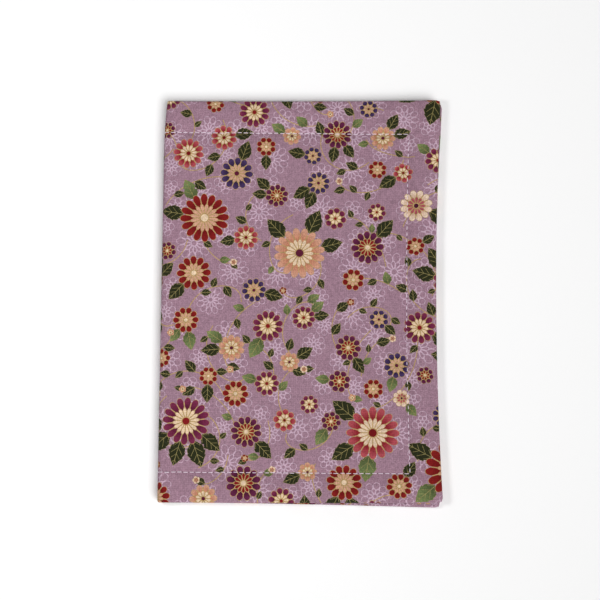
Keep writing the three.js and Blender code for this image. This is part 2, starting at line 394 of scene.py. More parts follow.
# Adds a node with its settings and links and gives its outputs. Inputs are in order or by name, and
# a kind in capitals is an operation of a Math node.
def add(tree, kind, inputs=(), **settings):
    if kind.isupper():
        kind, settings = "Math", settings | {"operation": kind}
    node = tree.nodes.new(kind if "Node" in kind else "ShaderNode" + kind)
    for key, value in settings.items():
        setattr(node, key, value)
    named = inputs.items() if isinstance(inputs, dict) else enumerate(inputs)
    for key, value in named:
        if isinstance(value, bpy.types.NodeSocket):
            tree.links.new(value, node.inputs[key])
        else:
            node.inputs[key].default_value = value
    return node.outputs


def newMaterial(name):
    material = bpy.data.materials.new(name)
    material.use_nodes = True
    material.node_tree.nodes.clear()
    return material, partial(add, material.node_tree)


# A motif's kind and size are in one number: the units of its parts, and how finely its size is kept
codes = {"palette": 10000, "petals": 100, "radius": 4, "lightLeaf": 1000, "leafLength": 10}
printLook = {
    "ground": "#9b7b8a",
    "groundDark": "#917080",
    "mottle": 0.22,  # patches to a mm
    "ghost": "#bca0b1",
    "gold": "#a3875a",
    "goldMetal": 0.2,
    "goldShine": 0.3,  # how much less rough the gold is than the cloth
    "matt": 0.82,
    "specular": 0.12,
    "sheen": 0.04,
    "sheenRough": 0.5,
    "line": 0.21,  # mm, printed outline
    "ghostLine": 1.25,  # times as wide
    "stemLine": 0.85,
    "threadSpacing": 0.75,  # mm; real threads lie 0.35 mm apart, too fine to show
    "threadBump": 0.35,
    # painted shade between the threads
    "paintedThreadShade": 0.2,
    "yarnTone": 0.38,
    "crossing": 0.375,  # mm between two crossings of threads
    "crossingTone": 0.36,
    # painted shade in the needle holes, where the thread dips into the cloth
    "needleHole": 0.22,  # mm
    "holeShade": 0.6,
    "wrongSide": "#b9a3b0",
}
flowerLook = {
    # for a ring of petals: how blunt they are, how deep the dents between them, and their reach
    "outer": (2.4, 0.24, 1.0),
    "inner": (2.0, 0.16, 0.56),
    "heart": 0.17,
    "tips": (0.5, 0.95),  # where the outer petals turn to the colour of their tips
    "fullLine": 5,  # mm, the radius from which the outline has its full width
}
# outer petals, their tips, inner petals, heart, and how often
palettes = [
    ("#670b0d", "#7a1715", "#c4957c", "#dcc2a4", 7),
    ("#441029", "#5c1e41", "#7a1516", "#d4ba9e", 6),
    ("#2b1a39", "#412f57", "#be937c", "#52142b", 4),
    ("#b3775c", "#c39079", "#d6bca0", "#52142b", 3),
    ("#ccaa92", "#dbc4ae", "#9e4b54", "#441029", 2),
    ("#541230", "#702644", "#dcc1a2", "#7a1516", 5),
    ("#7f1b24", "#a4474f", "#d6bca3", "#670b0d", 3),
]
leafLook = {
    "dark": "#22240f",
    "mid": "#6c7a4b",
    "line": "#857a4c",
    "lighter": (0.9, 0.25),  # a light leaf's tone: what it gains along, and what it has at its base
    "breadth": 0.35,  # half the width, as a share of the length
    "bulge": 0.8,  # below 1, the widest place is nearer the base
    "notches": 5,
    "notchDepth": 0.05,
    "veins": 4,
    "veinSlant": 1.1,
    "veinWidth": 0.08,
    "veinReach": 0.72,
    "rib": 0.45,  # shares of the printed outline's width
    "edge": 0.55,
}


# A motif's code to its parts, each counted in its own unit
def unpack(node, code, units, fineness):
    code = node("ROUND", (code,))[0]
    for size in units:
        part = node("DIVIDE", (code, size))[0]
        yield node("FLOOR", (part,))[0]
        code = node("MODULO", (code, size))[0]
    yield node("DIVIDE", (code, fineness))[0]


# A round flower from its own coordinates in mm
def rosette(node, attribute, line):
    place = node("Attribute", attribute_name=attribute)["Vector"]
    x, y, code = node("SeparateXYZ", (place,))
    units = (codes["palette"], codes["petals"])
    palette, petals, radius = unpack(node, code, units, codes["radius"])
    level = node("CombineXYZ", (x, y, 0.0))[0]
    far = node("VectorMath", (level,), operation="LENGTH")["Value"]
    share = node("DIVIDE", (far, radius))[0]
    off = node("ARCTAN2", (y, x))[0]
    steps = [("MULTIPLY", petals), ("MULTIPLY", 1 / (2 * math.pi)), ("FRACT",)]
    steps += [("SUBTRACT", 0.5), ("ABSOLUTE",), ("MULTIPLY", 2.0)]
    for operation, *value in steps:  # to 0 in a petal's middle and 1 between two
        off = node(operation, (off, *value))[0]
    near = node("SUBTRACT", (1.0, off))[0]
    rims = []
    for turn, (blunt, dent, reach) in ((off, flowerLook["outer"]), (near, flowerLook["inner"])):
        scallop = node("POWER", (turn, blunt))[0]
        rims.append(node("MULTIPLY_ADD", (scallop, -dent, reach))[0])
    within, gaps = [], []
    for rim in (*rims, flowerLook["heart"]):
        gap = node("SUBTRACT", (rim, share))[0]
        gap = node("MULTIPLY", (gap, radius))[0]
        within.append(node("GREATER_THAN", (gap, 0.0))[0])
        gaps.append(node("ABSOLUTE", (gap,))[0])
    inside, inner, heart = within
    pitch = node("DIVIDE", (far, petals))[0]
    pitch = node("MULTIPLY", (pitch, math.pi))[0]
    sides = [node("MULTIPLY", (turn, pitch))[0] for turn in (near, off)]
    closest = node("MixRGB", (inner, *sides))[0]
    for operation, value in (("ADD", heart), *(("MINIMUM", gap) for gap in gaps)):
        closest = node(operation, (closest, value))[0]
    growth = line / (flowerLook["fullLine"] + 1)
    breadth = node("MULTIPLY_ADD", (radius, growth, growth))[0]
    breadth = node("MINIMUM", (breadth, line))[0]
    lines = node("LESS_THAN", (closest, breadth))[0]
    lines = node("MULTIPLY", (lines, inside))[0]
    return palette, share, inside, inner, heart, lines


# A leaf from its own coordinates in mm, from base to tip and across
def leafShape(node, line):
    look = leafLook
    place = node("Attribute", attribute_name="leaf")["Vector"]
    x, y, code = node("SeparateXYZ", (place,))
    light, length = unpack(node, code, (codes["lightLeaf"],), codes["leafLength"])
    along = node("DIVIDE", (x, length), use_clamp=True)[0]
    across = node("ABSOLUTE", (y,))[0]
    bulge = notch = along
    for operation, *value in (("POWER", look["bulge"]), ("MULTIPLY", math.pi), ("SINE",)):
        bulge = node(operation, (bulge, *value))[0]
    teeth = ("MULTIPLY_ADD", -look["notchDepth"], look["breadth"])
    for operation, *value in (("MULTIPLY", look["notches"]), ("FRACT",), teeth):
        notch = node(operation, (notch, *value))[0]
    halfWidth = node("MULTIPLY", (bulge, notch))[0]
    halfWidth = node("MULTIPLY", (halfWidth, length))[0]
    margin = node("SUBTRACT", (halfWidth, across))[0]
    onLeaf = node("GREATER_THAN", (margin, 0.0))[0]
    slant = node("DIVIDE", (across, length))[0]
    lean = ("MULTIPLY_ADD", -look["veinSlant"], along)
    for operation, *value in (lean, ("MULTIPLY", look["veins"]), ("FRACT",)):
        slant = node(operation, (slant, *value))[0]
    reach = node("MULTIPLY", (halfWidth, look["veinReach"]))[0]
    limits = [(slant, look["veinWidth"]), (across, reach)]
    limits += [(across, line * look["rib"]), (margin, line * look["edge"])]
    vein, nearRib, rib, edge = (node("LESS_THAN", pair)[0] for pair in limits)
    lines = vein
    steps = (("MULTIPLY", nearRib), ("MAXIMUM", rib), ("MAXIMUM", edge), ("MULTIPLY", onLeaf))
    for operation, value in steps:
        lines = node(operation, (lines, value))[0]
    tone = node("MULTIPLY_ADD", (along, *look["lighter"]), use_clamp=True)[0]
    tone = node("MULTIPLY", (tone, light))[0]
    return onLeaf, lines, tone


# Where painted shade goes in the needle holes, from the seam's own coordinates: stitches along, mm
# across and mm to a stitch
def needleHoleShade(node):
    place = node("Attribute", attribute_name="seam")["Vector"]
    ahead, aside, pitch = node("SeparateXYZ", (place,))
    ahead = node("PINGPONG", (ahead, 0.5))[0]
    ahead = node("MULTIPLY", (ahead, pitch))[0]
    spot = node("CombineXYZ", (ahead, aside, 0.0))[0]
    spot = node("VectorMath", (spot,), operation="LENGTH")["Value"]
    return node("LESS_THAN", (spot, printLook["needleHole"]))[0]


weaveLook = {
    "height": 0.00006,  # metres
    "mean": 1.12,  # level of the threads, for an even tone
    "slub": 0.36,  # patches to a mm of yarn
}


# Plain weave: round threads that pass over and under each other, spun a little unevenly, with
# painted shade where a thread dips under another
def weave(node, uv, spacing, strength, paintedThreadShade, yarnTone):
    waves, rounds = [], []
    for axis in node("SeparateXYZ", (uv,))[:2]:
        wave = node("MULTIPLY", (axis, math.pi / spacing))[0]
        waves.append(node("SINE", (wave,))[0])
        rounds.append(node("ABSOLUTE", (waves[-1],))[0])
    over = node("MULTIPLY", waves)[0]
    warp = node("ADD", (rounds[0], over))[0]
    weft = node("SUBTRACT", (rounds[1], over))[0]
    top = node("MAXIMUM", (warp, weft))[0]
    rise = {"Strength": strength, "Distance": weaveLook["height"], "Height": top}
    bump = node("Bump", rise)[0]
    # painted shade: darker where the threads sink, lighter on their crowns
    level = 1 - paintedThreadShade / 2 * weaveLook["mean"]
    shade = node("MULTIPLY_ADD", (top, paintedThreadShade / 2, level))[0]
    fine, slub = 1 / spacing, weaveLook["slub"]
    for scale in ((fine, slub, 1.0), (slub, fine, 1.0)):
        lengthways = node("Mapping", {"Vector": uv, "Scale": scale})[0]
        yarn = node("TexNoise", {"Vector": lengthways, "Scale": 1.0, "Detail": 2.0})[0]
        yarn = node("MULTIPLY_ADD", (yarn, yarnTone, 1 - yarnTone / 2))[0]
        shade = node("MULTIPLY", (shade, yarn))[0]
    return bump, shade


def printedCotton():
    # Plain-woven quilting cotton with a pigment print: matt, faintly fuzzy, with dull gold outlines
    # and painted shade between its threads
    material, node = newMaterial("printed quilting cotton")
    look, line, goldInk = printLook, printLook["line"], colour(printLook["gold"])
    uv = node("UVMap", uv_map="clothMm")[0]
    mottle = node("TexNoise", {"Vector": uv, "Scale": look["mottle"], "Detail": 3.0})[0]
    base = node("MixRGB", (mottle, colour(look["groundDark"]), colour(look["ground"])))[0]
    ghostLines = rosette(node, "ghost", line * look["ghostLine"])[-1]
    stem = node("Attribute", attribute_name="stem")["Vector"]  # mm along and across
    across = node("ABSOLUTE", (node("SeparateXYZ", (stem,))[1],))[0]
    stemLines = node("LESS_THAN", (across, line * look["stemLine"]))[0]
    onLeaf, leafLines, tone = leafShape(node, line)
    green = node("MixRGB", (tone, colour(leafLook["dark"]), colour(leafLook["mid"])))[0]
    palette, share, inside, inner, heart, lines = rosette(node, "bloom", line)
    pick = node("ADD", (palette, 0.5))[0]
    pick = node("MULTIPLY", (pick, 1 / len(palettes)))[0]
    shades = []
    for part in range(4):
        shades += node("ValToRGB", (pick,))[:1]
        ramp = shades[-1].node.color_ramp
        ramp.interpolation = "CONSTANT"
        while len(ramp.elements) < len(palettes):
            ramp.elements.new(0.5)
        for k, hexValues in enumerate(palettes):
            ramp.elements[k].position = k / len(palettes)
            ramp.elements[k].color = colour(hexValues[part])
    petal, tip, middle, eye = shades
    spread = node("MapRange", (share, *flowerLook["tips"]), interpolation_type="SMOOTHSTEP")[0]
    for factor, shade in ((spread, tip), (inner, middle), (heart, eye)):
        petal = node("MixRGB", (factor, petal, shade))[0]
    # from the ground up: pale outlines, stems, leaves, and flowers over everything else
    layers = [(ghostLines, colour(look["ghost"])), (stemLines, goldInk), (onLeaf, green)]
    layers += [(leafLines, colour(leafLook["line"])), (inside, petal), (lines, goldInk)]
    for mask, ink in layers:
        base = node("MixRGB", (mask, base, ink))[0]
    under = node("SUBTRACT", (1.0, inside))[0]
    gold = stemLines
    for operation, value in (("MAXIMUM", leafLines), ("MULTIPLY", under), ("MAXIMUM", lines)):
        gold = node(operation, (gold, value))[0]
    metal = node("MULTIPLY", (gold, look["goldMetal"]))[0]
    rough = node("MULTIPLY_ADD", (gold, -look["goldShine"], look["matt"]))[0]
    # painted shade between the threads, with the yarn's own uneven tone
    tones = (look["paintedThreadShade"], look["yarnTone"])
    bump, tone = weave(node, uv, look["threadSpacing"], look["threadBump"], *tones)
    # where two threads cross one of them shows, and each took the dye a little differently
    speck = node("VectorMath", (uv, (look["crossing"],) * 3), operation="SNAP")[0]
    speck = node("TexWhiteNoise", {"Vector": speck}, noise_dimensions="2D")[0]
    level = 1 - look["crossingTone"] / 2
    speck = node("MULTIPLY_ADD", (speck, look["crossingTone"], level))[0]
    tone = node("MULTIPLY", (tone, speck))[0]
    # painted shade in the needle holes, where the thread dips into the cloth
    hole = needleHoleShade(node)
    tone = node("MULTIPLY_ADD", (hole, -look["holeShade"], tone))[0]
    base = node("MixRGB", (1.0, base, tone), blend_type="MULTIPLY")[0]
    finish = {"Base Color": base, "Metallic": metal, "Roughness": rough, "Normal": bump}
    finish["Specular IOR Level"] = look["specular"]
    finish |= {"Sheen Weight": look["sheen"], "Sheen Roughness": look["sheenRough"]}
    shader = node("BsdfPrincipled", finish)[0]
    node("OutputMaterial", (shader,))
    return material


plainLook = {
    "streaks": (0.12, 1.4, 1.0),  # to a mm, along the yarn and across
    "shade": 0.88,
    "matt": 0.88,
    "specular": 0.25,
    # painted shade between the threads
    "paintedThreadShade": 0.1,
    "yarnTone": 0.12,
    # colour, thread spacing in mm, drawn as coarse as it needs to show, and bump
    "wrong side of the print": (printLook["wrongSide"], 0.8, 0.3),
    "unbleached lining cotton": ("#e6dcc8", 0.8, 0.35),
    "unbleached band cotton": ("#ece3d2", 0.8, 0.35),
    "woven interlining": ("#e4e1da", 1.0, 0.4),
}


def plainCotton(name):
    # Plain-woven cotton without a print: matt, with uneven yarn that streaks it, and painted shade
    # between its threads
    material, node = newMaterial(name)
    hexValue, spacing, strength = plainLook[name]
    uv = node("UVMap", uv_map="clothMm")[0]
    streaks = node("Mapping", {"Vector": uv, "Scale": plainLook["streaks"]})[0]
    mottle = node("TexNoise", {"Vector": streaks, "Scale": 1.0, "Detail": 3.0})[0]
    dark = colour(hexValue, plainLook["shade"])
    base = node("MixRGB", (mottle, dark, colour(hexValue)))[0]
    tones = (plainLook["paintedThreadShade"], plainLook["yarnTone"])
    bump, tone = weave(node, uv, spacing, strength, *tones)
    base = node("MixRGB", (1.0, base, tone), blend_type="MULTIPLY")[0]
    finish = {"Base Color": base, "Roughness": plainLook["matt"], "Normal": bump}
    finish["Specular IOR Level"] = plainLook["specular"]
    shader = node("BsdfPrincipled", finish)[0]
    node("OutputMaterial", (shader,))
    return material


thread = {
    # the plies' crowns, paler than the thread itself, as painted shade darkens the grooves
    "hem": "#e8d6e4",
    "band": "#e5d4b6",
    "twist": 0.6,  # mm along the thread from one ply to the next
    # painted shade in the grooves between the plies
    "plyGrooveShade": 0.22,
    "twistBump": 0.6,
    "twistWander": 0.7,
    "plyHeight": 0.00005,  # metres
    "fuzz": 0.9,  # mm
    "rough": (0.3, 0.42),  # what the fuzz adds, and the least
    "sheen": 0.2,
}


def sewingThread(name, hexValue):
    # Mercerised two-ply cotton thread: a soft sheen, and plies that slant across it, with painted
    # shade in the grooves between them
    material, node = newMaterial(name)
    place = node("TexCoord")["Object"]
    waves = perMetre * 2 * math.pi / (10 * thread["twist"])  # the texture's unit is ten radians
    twist = {"Vector": place, "Scale": waves, "Detail": 1.0}
    twist["Distortion"] = thread["twistWander"]
    plies = node("TexWave", twist, bands_direction="DIAGONAL")["Fac"]
    rise = {"Strength": thread["twistBump"], "Distance": thread["plyHeight"], "Height": plies}
    bump = node("Bump", rise)[0]
    # painted shade in the grooves between the plies, which follow the bump
    dark = colour(hexValue, 1 - thread["plyGrooveShade"])
    base = node("MixRGB", (plies, dark, colour(hexValue)))[0]
    fibres = {"Vector": place, "Scale": perMetre / thread["fuzz"], "Detail": 2.0}
    fuzz = node("TexNoise", fibres)[0]
    rough = node("MULTIPLY_ADD", (fuzz, *thread["rough"]))[0]
    finish = {"Base Color": base, "Roughness": rough, "Normal": bump}
    finish["Sheen Weight"] = thread["sheen"]
    shader = node("BsdfPrincipled", finish)[0]
    node("OutputMaterial", (shader,))
    return material


coverMaterial = printedCotton()
wrongSide = plainCotton("wrong side of the print")
liningMaterial = plainCotton("unbleached lining cotton")
bandMaterial = plainCotton("unbleached band cotton")
interliningMaterial = plainCotton("woven interlining")
hemThread = sewingThread("pale lilac sewing thread", thread["hem"])
bandThread = sewingThread("cream sewing thread", thread["band"])
print("materials made")

# The print's layout on the flat cloth, in mm from the middle of the spine
layout = {
    "seed": 23,
    "width": 132,
    "height": 102,
    # radius, count and gap
    "sizes": [(10.3, 14, 4.0), (6.6, 34, 3.2), (5.0, 60, 2.8), (3.8, 64, 2.4)],
    "tries": 6000,
    "uneven": (0.9, 1.1),
    "petals": ((2, 5), (4.6, 8), (6, 10), (9, 12), (99, 16)),  # below a radius, and how many
    "ghostRadius": 5.6,
    "ghostTries": 9000,
    "ghostUneven": (0.7, 1.4),
    "ghostOverlap": 0.6,
    "ghostPetals": ((4.5, 6), (6, 9), (99, 12)),
}
flowerLeaves = {
    "count": ((4.6, 1), (9.1, 2), (99, 4)),  # below a radius, and how many
    "fan": (0.55, 0.85),  # radians from one to the next
    "length": ((6.1, (5, 7.4)), (99, (7.5, 10))),  # below a radius, and between which lengths
    "start": 0.86,  # share of the radius, so that the flower covers the leaf's base
    "clear": 1,  # from the rim
    "light": 0.32,  # share of light leaves
}
spray = {
    "tries": 1500,
    "bend": (0.03, 0.09),  # radians to a mm
    "length": (16, 38),
    "hook": (8, 3),  # over this much at the tip, it bends this much more
    "leafStep": 5,
    "leafAngle": (0.5, 1.0),
    "leafLength": (3.4, 6.2),
    "light": 0.15,
    "leaves": 2,  # at least
    "gap": 2.5,
    "bud": 1.5,
    "budGap": 2.0,
    "budPalettes": (0, 3, 4),
}
leafGap = {
    "places": (0.35, 0.65, 1.0),  # along a leaf, that are tested against
    "others": (0.3, 0.7, 1.0),  # these along another
    "flower": 0.6,
    "leaf": 0.3,
    "taper": (1.1, 0.45),
    "far": 30,
}
fullTurn = 6.28


def below(table, radius):
    return next(value for limit, value in table if radius < limit)


def anyPlace(rng):
    return [rng.uniform(-layout[key], layout[key]) for key in ("width", "height")]


def anyRadius(rng, radius, uneven):
    return round(radius * rng.uniform(*uneven) * codes["radius"]) / codes["radius"]


def apart(x, y, reach, blooms):
    return all(math.hypot(x - b[0], y - b[1]) > reach + b[2] for b in blooms)


def scatter(rng):
    blooms = []
    weights = [p[-1] for p in palettes]
    for radius, wanted, gap in layout["sizes"]:
        kept = 0
        for _ in range(layout["tries"]):
            x, y = anyPlace(rng)
            r = anyRadius(rng, radius, layout["uneven"])
            if apart(x, y, r + gap, blooms):
                palette = rng.choices(range(len(palettes)), weights)[0]
                blooms.append((x, y, r, palette, rng.uniform(0, fullTurn)))
                kept += 1
                if kept == wanted:
                    break
    return blooms


def clearLeaf(base, direction, length, blooms, leaves):
    wide, narrower = leafGap["taper"]
    for k in leafGap["places"]:
        x, y = base[0] + direction[0] * length * k, base[1] + direction[1] * length * k
        if not apart(x, y, leafGap["flower"], blooms):
            return False
        for ox, oy, dx, dy, otherLength, _ in leaves:
            if abs(ox - x) + abs(oy - y) > leafGap["far"]:
                continue
            for m in leafGap["others"]:
                gap = math.hypot(x - ox - dx * otherLength * m, y - oy - dy * otherLength * m)
                least = leafGap["leaf"] * (length + otherLength)
                if gap < least * (wide - narrower * max(k, m)):
                    return False
    return True


# A trailing stem that hooks over at its tip, with small leaves on both sides
def growSpray(rng, blooms, leaves):
    line, grown = [tuple(anyPlace(rng))], []
    heading = rng.uniform(0, fullTurn)
    bend = rng.choice((-1, 1)) * rng.uniform(*spray["bend"])
    length = rng.randrange(*spray["length"])
    hookLength, hookBend = spray["hook"]
    every = spray["leafStep"]
    for step in range(length):
        heading += bend * (1 + hookBend * max(0, step - length + hookLength) / hookLength)
        line.append((line[-1][0] + math.cos(heading), line[-1][1] + math.sin(heading)))
        if step % every == every // 2 + 1:
            side = 1 if (step // every) % 2 else -1
            angle = heading + side * rng.uniform(*spray["leafAngle"])
            direction = (math.cos(angle), math.sin(angle))
            leafLength = rng.uniform(*spray["leafLength"])
            if clearLeaf(line[-1], direction, leafLength, blooms, leaves + grown):
                light = rng.random() < spray["light"]
                grown.append((*line[-1], *direction, leafLength, light))
    return np.array(line), grown


# One to four leaves that fan out from under each flower
def growLeaves(rng, blooms):
    leaves, start = [], flowerLeaves["start"]
    for x, y, r, _, turn in blooms:
        for k in range(below(flowerLeaves["count"], r)):
            across = math.pi if k == 3 else 0  # the fourth on the other side
            angle = turn + k * rng.uniform(*flowerLeaves["fan"]) + across
            dx, dy = math.cos(angle), math.sin(angle)
            length = rng.uniform(*below(flowerLeaves["length"], r))
            clear = r + flowerLeaves["clear"]
            if clearLeaf((x + dx * clear, y + dy * clear), (dx, dy), length, blooms, leaves):
                base = (x + dx * r * start, y + dy * r * start)
                light = rng.random() < flowerLeaves["light"]
                leaves.append((*base, dx, dy, length + (1 - start) * r, light))
    return leaves


def growPrint(rng):
    blooms = scatter(rng)
    leaves, stems, buds, ghosts = growLeaves(rng, blooms), [], [], []
    for _ in range(spray["tries"]):
        line, grown = growSpray(rng, blooms, leaves)
        gaps = (np.linalg.norm(line[:, None] - s[None, ::2], axis=2).min() for s in stems)
        if len(grown) < spray["leaves"] or any(gap < spray["gap"] for gap in gaps):
            continue
        leaves += grown
        stems.append(line)
        if apart(*line[-1], spray["budGap"], blooms + buds):
            buds.append((*line[-1], spray["bud"], rng.choice(spray["budPalettes"]), 0.0))
    for _ in range(layout["ghostTries"]):
        x, y = anyPlace(rng)
        r = anyRadius(rng, layout["ghostRadius"], layout["ghostUneven"])
        if apart(x, y, r - layout["ghostOverlap"], ghosts):
            ghosts.append((x, y, r, 0, rng.uniform(0, fullTurn)))
    return {"flowers": blooms + buds, "leaves": leaves, "stems": stems, "outlines": ghosts}


motifs = growPrint(random.Random(layout["seed"]))
print("print laid out:", ", ".join(f"{len(found)} {kind}" for kind, found in motifs.items()))

stamp = {
    "nowhere": 900,  # mm, beyond any motif
    "flower": 1.1,  # mm past a motif's edge that still belong to it
    "leaf": 1,
    "leafBreadth": 0.32,  # half of it, as a share of the length
    "stem": 1.3,  # mm to each side
    "stemBox": 2,
    "hole": 1,
    "holeEnd": 1.5,  # mm past the corner of two seams
}


def blank(flat, code):
    layer = np.full((*flat.shape[:2], 3), stamp["nowhere"], np.float32)
    layer[:, :, 2] = code
    return layer, flat.mean(1)


# Each face takes the coordinates of the nearest motif
def stampRound(flat, found, petals):
    layer, centre = blank(flat, below(petals, 1) * codes["petals"] + codes["radius"])
    best = np.full(len(flat), np.inf)
    for x, y, r, palette, turn in found:
        away = np.hypot(centre[:, 0] - x, centre[:, 1] - y) / r
        hit = np.flatnonzero((away < 1 + stamp["flower"] / r) & (away < best))
        best[hit] = away[hit]
        dx, dy = flat[hit, :, 0] - x, flat[hit, :, 1] - y
        layer[hit, :, 0] = dx * math.cos(turn) + dy * math.sin(turn)
        layer[hit, :, 1] = dy * math.cos(turn) - dx * math.sin(turn)
        kind = palette * codes["palette"] + below(petals, r) * codes["petals"]
        layer[hit, :, 2] = kind + r * codes["radius"]
    return layer


def stampLeaves(flat):
    layer, centre = blank(flat, codes["leafLength"])
    best = np.full(len(flat), np.inf)
    for x, y, dx, dy, length, light in motifs["leaves"]:
        rel = centre - (x + dx * length / 2, y + dy * length / 2)
        along = np.abs(rel @ (dx, dy)) / (length / 2 + stamp["leaf"])
        across = np.abs(rel @ (-dy, dx)) / (stamp["leafBreadth"] * length + stamp["leaf"])
        away = np.maximum(along, across)
        hit = np.flatnonzero((away < 1) & (away < best))
        best[hit] = away[hit]
        corner = flat[hit] - (x, y)
        layer[hit, :, 0] = corner @ (dx, dy)
        layer[hit, :, 1] = corner @ (-dy, dx)
        layer[hit, :, 2] = codes["lightLeaf"] * light + round(length * codes["leafLength"])
    return layer


def stampStems(flat):
    layer, centre = blank(flat, 0)
    best = np.full(len(flat), stamp["stem"])
    for line in motifs["stems"]:
        low, high = line.min(0) - stamp["stemBox"], line.max(0) + stamp["stemBox"]
        near = np.flatnonzero(((centre > low) & (centre < high)).all(1))
        if not len(near):
            continue
        a, d = line[:-1], np.diff(line, axis=0)
        rel = centre[near][:, None, :] - a[None]
        t = np.clip((rel * d).sum(2), 0, 1)
        gap = np.linalg.norm(rel - t[:, :, None] * d, axis=2)
        part, close = gap.argmin(1), gap.min(1)
        take = close < best[near]
        hit, part = near[take], part[take]
        best[hit] = close[take]
        corner, way = flat[hit] - a[part][:, None, :], d[part][:, None, :]
        layer[hit, :, 0] = (corner * way).sum(2)
        layer[hit, :, 1] = corner[..., 1] * way[..., 0] - corner[..., 0] * way[..., 1]
    return layer


stitch = {
    "pitch": 2.5,
    "bandPitch": 3.0,
    "spineHalf": 1.3,  # half the row that lies on the spine itself
    "proud": 0.02,
    "share": 0.74,  # of the pitch that shows
    "thread": 0.34,
    "arch": 0.13,
    "dip": 0.2,
    "sides": 6,  # round the thread, and pieces along a stitch
    "uneven": ((0.94, 0.9, 0.9), (1.06, 1.1, 1.1)),
    "unevenSeed": 4,
    "wander": 0.06,
    "seed": 9,
    "look": 0.4,  # to each side along the row, for a stitch's direction
    "shortest": 0.3,  # share that a stitch in a fold keeps
    "pageRow": 120,  # points along a row
    "bandRow": 30,
    "spineRow": 12,
    "bandInset": 0.4,
}
faces = ("outer", "inner")
hemRows = {"top": seamY, "bottom": -seamY}


def lengthAlong(line):
    return np.concatenate([[0], np.cumsum(np.linalg.norm(np.diff(line, axis=0), axis=1))])


# A hem's row of stitching, from the edge of the spine to the corner, with the cloth's outward
# direction and the length along it on the open book
def acrossPage(at, side, face):
    cover, hem = (outerPath, facePoints, -1), (hemPath, hemPoints, 1)
    path, pointsOf, out = cover if face == "outer" else hem
    proud = cloth["thickness"] / 2 + stitch["proud"]
    points = pointsOf(side, np.full((1, 1), at), proud)[:, 0]
    normal = np.concatenate([path["nu"], 0 * path["nu"], path["nw"] * inwards[side]], 1) * out
    flat = np.concatenate(opened(path["u"], path["w"]), 1)
    kept = (flat[:, 0] + thick / 2 > stitch["spineHalf"]) & (path["u"][:, 0] <= seamU)
    return points[kept], normal[kept], lengthAlong(flat[kept])


def alongForeEdge(side, face):
    y = np.linspace(-seamY, seamY, stitch["pageRow"])
    u = np.full(len(y), seamU)
    if face == "outer":
        depth, up = outerRelief(u, y, side) - stitch["proud"], -inwards[side]
    else:
        depth, up = fullDepth + hemRelief(u, y, side) + stitch["proud"], inwards[side]
    line = toWorld(*plan(u, y, side, roundCorners=False), depth, side)
    return line, np.array((0.0, 0.0, up)), lengthAlong(line)


# Stitches along the nearest row, mm across it and mm to a stitch, on the page's face alone
def stampSeam(u, y, side):
    layer = np.full((*u.shape, 3), stamp["nowhere"], np.float32)
    layer[..., 0], layer[..., 2] = 0, stitch["pitch"]
    rows = []
    for at in hemRows.values():
        line, _, far = acrossPage(at, side, "outer")
        between = (u.min(1) < seamU + stamp["holeEnd"]) & (u.min(1) > shape["spineBend"])
        rows.append((u, line[:, 0] - spineX, far, y - line[-1, 1], between))
    line, _, far = alongForeEdge(side, "outer")
    aside = u - np.interp(y, line[:, 1], line[:, 0] - spineX)
    between = (y.max(1) < line[-1, 1]) & (y.min(1) > line[0, 1])
    rows.append((y, line[:, 1], far, aside, between))
    for along, places, far, aside, between in rows:
        near = between & (np.abs(aside).min(1) < stamp["hole"])
        count = round(far[-1] / stitch["pitch"])
        ahead = np.interp(along[near], places, far) * count / far[-1]
        layer[near] = np.stack([ahead, aside[near], 0 * ahead + far[-1] / count], -1)
    return layer


def setCorners(obj, name, values):
    full = np.zeros((len(obj.data.loops), 3), np.float32)
    values = values.reshape(-1, 3)
    full[: len(values)] = values
    layer = obj.data.attributes.new(name, "FLOAT_VECTOR", "CORNER")
    layer.data.foreach_set("vector", full.ravel())


def setUv(obj, flat):
    full = np.zeros((len(obj.data.loops), 2), np.float32)
    both = np.concatenate([flat, flat[:, ::-1]]).reshape(-1, 2)
    full[: len(both)] = both
    layer = obj.data.uv_layers.new(name="clothMm")
    layer.uv.foreach_set("vector", full.ravel())


cellOrder = ((0, 0), (1, 0), (1, 1), (0, 1))  # a cell's corners in a grid of points


# The four corners of every cell in a grid of values
def cellCorners(values, order):
    n, m = values.shape[0] - 1, values.shape[1] - 1
    return [values[a : n + a, b : m + b] for a, b in order]


